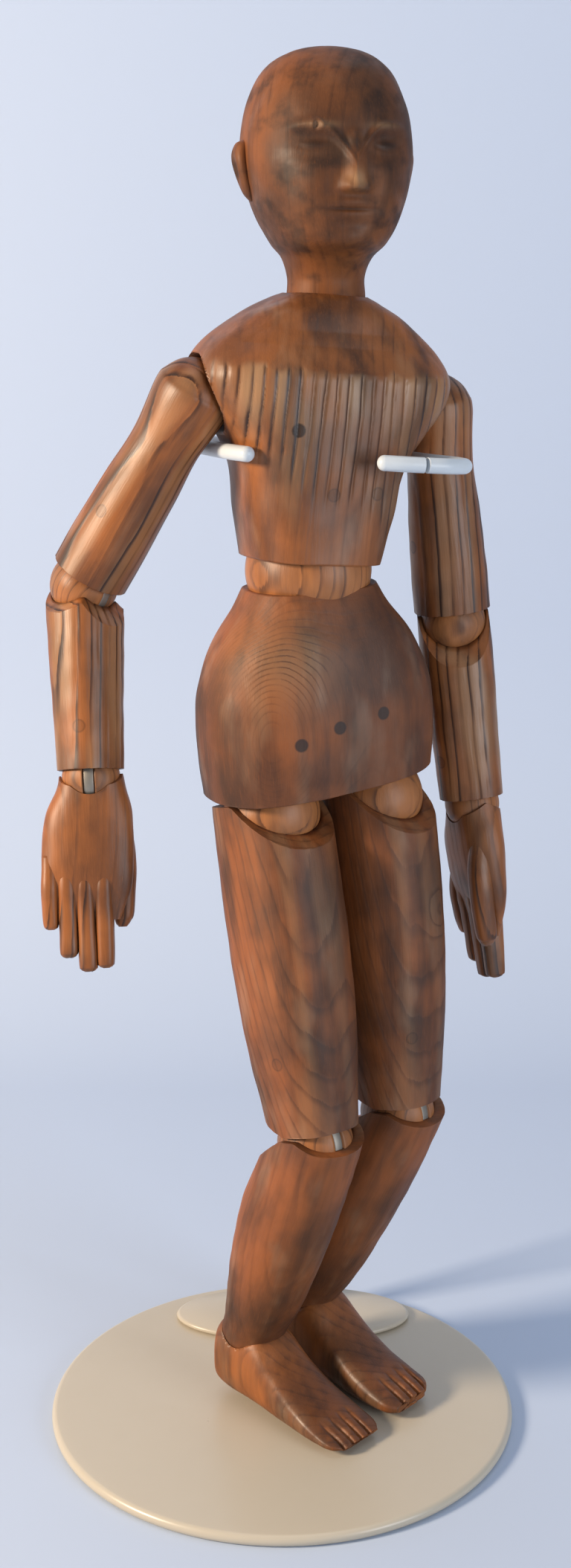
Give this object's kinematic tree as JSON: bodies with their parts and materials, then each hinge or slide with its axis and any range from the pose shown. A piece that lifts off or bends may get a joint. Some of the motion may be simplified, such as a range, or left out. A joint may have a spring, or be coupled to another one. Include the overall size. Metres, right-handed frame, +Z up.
{
  "type": "articulated mannequin",
  "caption": "Carved wooden lay figure with ball joints at neck, waist, shoulders, elbows, wrists, hips, knees and ankles, held by a wire clamp over a round enamelled base.",
  "frame": {"origin": "on the floor under the middle of the round base", "axes": "+Z up along the post, -Y towards the viewer of the picture, +X to the viewer's right"},
  "size_m": [0.2, 0.2, 0.5622],
  "materials": {
    "stained_pine": "dark stained softwood under worn satin varnish",
    "pale_wood": "turned softwood, worn pale",
    "dowel_wood": "end grain",
    "grey_iron": "worn grey iron",
    "cream_enamel": "glossy enamel",
    "white_vinyl": "satin vinyl cover over wire"
  },
  "bodies": {
    "stand": {"base_plate": "cream_enamel", "post_pad": "cream_enamel", "post_tube": "cream_enamel"},
    "chest": {"post_rod": "grey_iron", "clamp_collar": "grey_iron", "clamp_arm_right": "white_vinyl", "clamp_arm_left": "white_vinyl", "clamp_sleeve": "white_vinyl", "chest_dowel_upper": "dowel_wood", "chest_dowel_lower": "dowel_wood", "chest_dowel_side": "dowel_wood", "chest": "stained_pine"},
    "pelvis": {"waist_tongue": "grey_iron", "pelvis_dowel_right": "dowel_wood", "pelvis_dowel_middle": "dowel_wood", "pelvis_dowel_left": "dowel_wood", "pelvis": "stained_pine"},
    "head": {"head": "stained_pine"},
    "neck_peg": {"neck_peg": "grey_iron"},
    "waist_ball": {"waist_ball": "stained_pine"},
    "shoulder_peg_right": {"shoulder_peg_right": "grey_iron"},
    "upper_arm_right": {"upper_arm_right": "stained_pine", "upper_arm_dowel_right": "dowel_wood"},
    "elbow_ball_right": {"elbow_ball_right": "pale_wood"},
    "forearm_right": {"elbow_tongue_right": "grey_iron", "forearm_right": "stained_pine", "forearm_dowel_right": "dowel_wood"},
    "wrist_ball_right": {"wrist_ball_right": "pale_wood"},
    "hand_right": {"wrist_tongue_right": "grey_iron", "hand_right": "stained_pine"},
    "hip_ball_right": {"hip_ball_right": "pale_wood"},
    "thigh_right": {"hip_tongue_right": "grey_iron", "thigh_right": "stained_pine", "thigh_dowel_right": "dowel_wood"},
    "knee_ball_right": {"knee_ball_right": "pale_wood"},
    "shin_right": {"knee_tongue_right": "grey_iron", "shin_right": "stained_pine"},
    "foot_right": {"foot_right": "stained_pine", "ankle_tongue_right": "grey_iron"},
    "shoulder_peg_left": {"shoulder_peg_left": "grey_iron"},
    "upper_arm_left": {"upper_arm_left": "stained_pine", "upper_arm_dowel_left": "dowel_wood"},
    "elbow_ball_left": {"elbow_ball_left": "pale_wood"},
    "forearm_left": {"elbow_tongue_left": "grey_iron", "forearm_left": "stained_pine", "forearm_dowel_left": "dowel_wood"},
    "wrist_ball_left": {"wrist_ball_left": "pale_wood"},
    "hand_left": {"wrist_tongue_left": "grey_iron", "hand_left": "stained_pine"},
    "hip_ball_left": {"hip_ball_left": "pale_wood"},
    "thigh_left": {"hip_tongue_left": "grey_iron", "thigh_left": "stained_pine", "thigh_dowel_left": "dowel_wood"},
    "knee_ball_left": {"knee_ball_left": "pale_wood"},
    "shin_left": {"knee_tongue_left": "grey_iron", "shin_left": "stained_pine"},
    "foot_left": {"foot_left": "stained_pine", "ankle_tongue_left": "grey_iron"}
  },
  "joints": [
    {"name": "neck_turn", "type": "hinge", "parent": "chest", "child": "neck_peg", "pos_m": [0.01695, 0.01306, 0.48022], "axis": [0, 0, 1], "range_deg": [-60, 60]},
    {"name": "head_nod", "type": "hinge", "parent": "neck_peg", "child": "head", "pos_m": [0.01695, 0.01306, 0.48022], "axis": [0.9659, 0.2588, 0], "range_deg": [-10, 10]},
    {"name": "waist_turn", "type": "hinge", "parent": "chest", "child": "waist_ball", "pos_m": [0.0105, 0.008, 0.3665], "axis": [0, 0, 1], "range_deg": [-25, 25]},
    {"name": "waist_bend", "type": "hinge", "parent": "waist_ball", "child": "pelvis", "pos_m": [0.0105, 0.008, 0.3665], "axis": [-0.9063, -0.4226, 0], "range_deg": [0, 14]},
    {"name": "shoulder_swing_right", "type": "hinge", "parent": "chest", "child": "shoulder_peg_right", "pos_m": [-0.03434, -0.0054, 0.4339], "axis": [-0.9113, -0.4057, 0.0698], "range_deg": [-30, 30]},
    {"name": "shoulder_raise_right", "type": "hinge", "parent": "shoulder_peg_right", "child": "upper_arm_right", "pos_m": [-0.03434, -0.0054, 0.4339], "axis": [-0.3521, 0.8559, 0.3789], "range_deg": [0, 40]},
    {"name": "elbow_turn_right", "type": "hinge", "parent": "upper_arm_right", "child": "elbow_ball_right", "pos_m": [-0.07855, 0.00897, 0.36036], "axis": [0.5082, -0.1651, 0.8453], "range_deg": [-30, 30]},
    {"name": "elbow_bend_right", "type": "hinge", "parent": "elbow_ball_right", "child": "forearm_right", "pos_m": [-0.07855, 0.00897, 0.36036], "axis": [-0.5927, -0.7792, 0.2041], "range_deg": [0, 20]},
    {"name": "wrist_turn_right", "type": "hinge", "parent": "forearm_right", "child": "wrist_ball_right", "pos_m": [-0.07551, -0.01269, 0.28653], "axis": [-0.0395, 0.2813, 0.9588], "range_deg": [-60, 60]},
    {"name": "wrist_bend_right", "type": "hinge", "parent": "wrist_ball_right", "child": "hand_right", "pos_m": [-0.07551, -0.01269, 0.28653], "axis": [0.9992, 0.0111, 0.0379], "range_deg": [-28, 14]},
    {"name": "hip_turn_right", "type": "hinge", "parent": "pelvis", "child": "hip_ball_right", "pos_m": [-0.00404, -0.0043, 0.26991], "axis": [0.1302, -0.1792, -0.9751], "range_deg": [-12, 0]},
    {"name": "hip_swing_right", "type": "hinge", "parent": "hip_ball_right", "child": "thigh_right", "pos_m": [-0.00404, -0.0043, 0.26991], "axis": [-0.7752, -0.6316, 0.0126], "range_deg": [0, 34]},
    {"name": "knee_turn_right", "type": "hinge", "parent": "thigh_right", "child": "knee_ball_right", "pos_m": [0.01354, -0.02849, 0.13826], "axis": [0.1302, -0.1792, -0.9751], "range_deg": [-12, 0]},
    {"name": "knee_bend_right", "type": "hinge", "parent": "knee_ball_right", "child": "shin_right", "pos_m": [0.01354, -0.02849, 0.13826], "axis": [0.7752, 0.6316, -0.0126], "range_deg": [0, 41]},
    {"name": "ankle_bend_right", "type": "hinge", "parent": "shin_right", "child": "foot_right", "pos_m": [-0.01242, 0.00138, 0.03778], "axis": [-0.682, -0.7314, 0], "range_deg": [0, 14]},
    {"name": "shoulder_swing_left", "type": "hinge", "parent": "chest", "child": "shoulder_peg_left", "pos_m": [0.0618, 0.03741, 0.42654], "axis": [-0.9113, -0.4057, 0.0698], "range_deg": [-30, 30]},
    {"name": "shoulder_raise_left", "type": "hinge", "parent": "shoulder_peg_left", "child": "upper_arm_left", "pos_m": [0.0618, 0.03741, 0.42654], "axis": [0.407, -0.9134, 0.0042], "range_deg": [0, 40]},
    {"name": "elbow_turn_left", "type": "hinge", "parent": "upper_arm_left", "child": "elbow_ball_left", "pos_m": [0.07136, 0.04127, 0.34015], "axis": [-0.1098, -0.0444, 0.993], "range_deg": [-30, 30]},
    {"name": "elbow_bend_left", "type": "hinge", "parent": "elbow_ball_left", "child": "forearm_left", "pos_m": [0.07136, 0.04127, 0.34015], "axis": [-0.9931, -0.0371, -0.1115], "range_deg": [0, 53]},
    {"name": "wrist_turn_left", "type": "hinge", "parent": "forearm_left", "child": "wrist_ball_left", "pos_m": [0.08018, 0.03387, 0.26402], "axis": [-0.1146, 0.0961, 0.9888], "range_deg": [-60, 60]},
    {"name": "wrist_bend_left", "type": "hinge", "parent": "wrist_ball_left", "child": "hand_left", "pos_m": [0.08018, 0.03387, 0.26402], "axis": [-0.3949, 0.9089, -0.1341], "range_deg": [-28, 14]},
    {"name": "hip_turn_left", "type": "hinge", "parent": "pelvis", "child": "hip_ball_left", "pos_m": [0.03832, 0.01546, 0.27236], "axis": [-0.0757, 0.1042, 0.9917], "range_deg": [-12, 0]},
    {"name": "hip_swing_left", "type": "hinge", "parent": "hip_ball_left", "child": "thigh_left", "pos_m": [0.03832, 0.01546, 0.27236], "axis": [-0.6508, -0.7586, 0.03], "range_deg": [0, 34]},
    {"name": "knee_turn_left", "type": "hinge", "parent": "thigh_left", "child": "knee_ball_left", "pos_m": [0.04854, 0.00139, 0.13848], "axis": [-0.0757, 0.1042, 0.9917], "range_deg": [-12, 0]},
    {"name": "knee_bend_left", "type": "hinge", "parent": "knee_ball_left", "child": "shin_left", "pos_m": [0.04854, 0.00139, 0.13848], "axis": [0.6508, 0.7586, -0.03], "range_deg": [0, 43]},
    {"name": "ankle_bend_left", "type": "hinge", "parent": "shin_left", "child": "foot_left", "pos_m": [0.01154, 0.02927, 0.04092], "axis": [-0.6691, -0.7431, 0], "range_deg": [0, 14]},
    {"name": "post_height", "type": "slide", "parent": "stand", "child": "chest", "axis": [0, 0, 1], "range_m": [0, 0.05]}
  ]
}
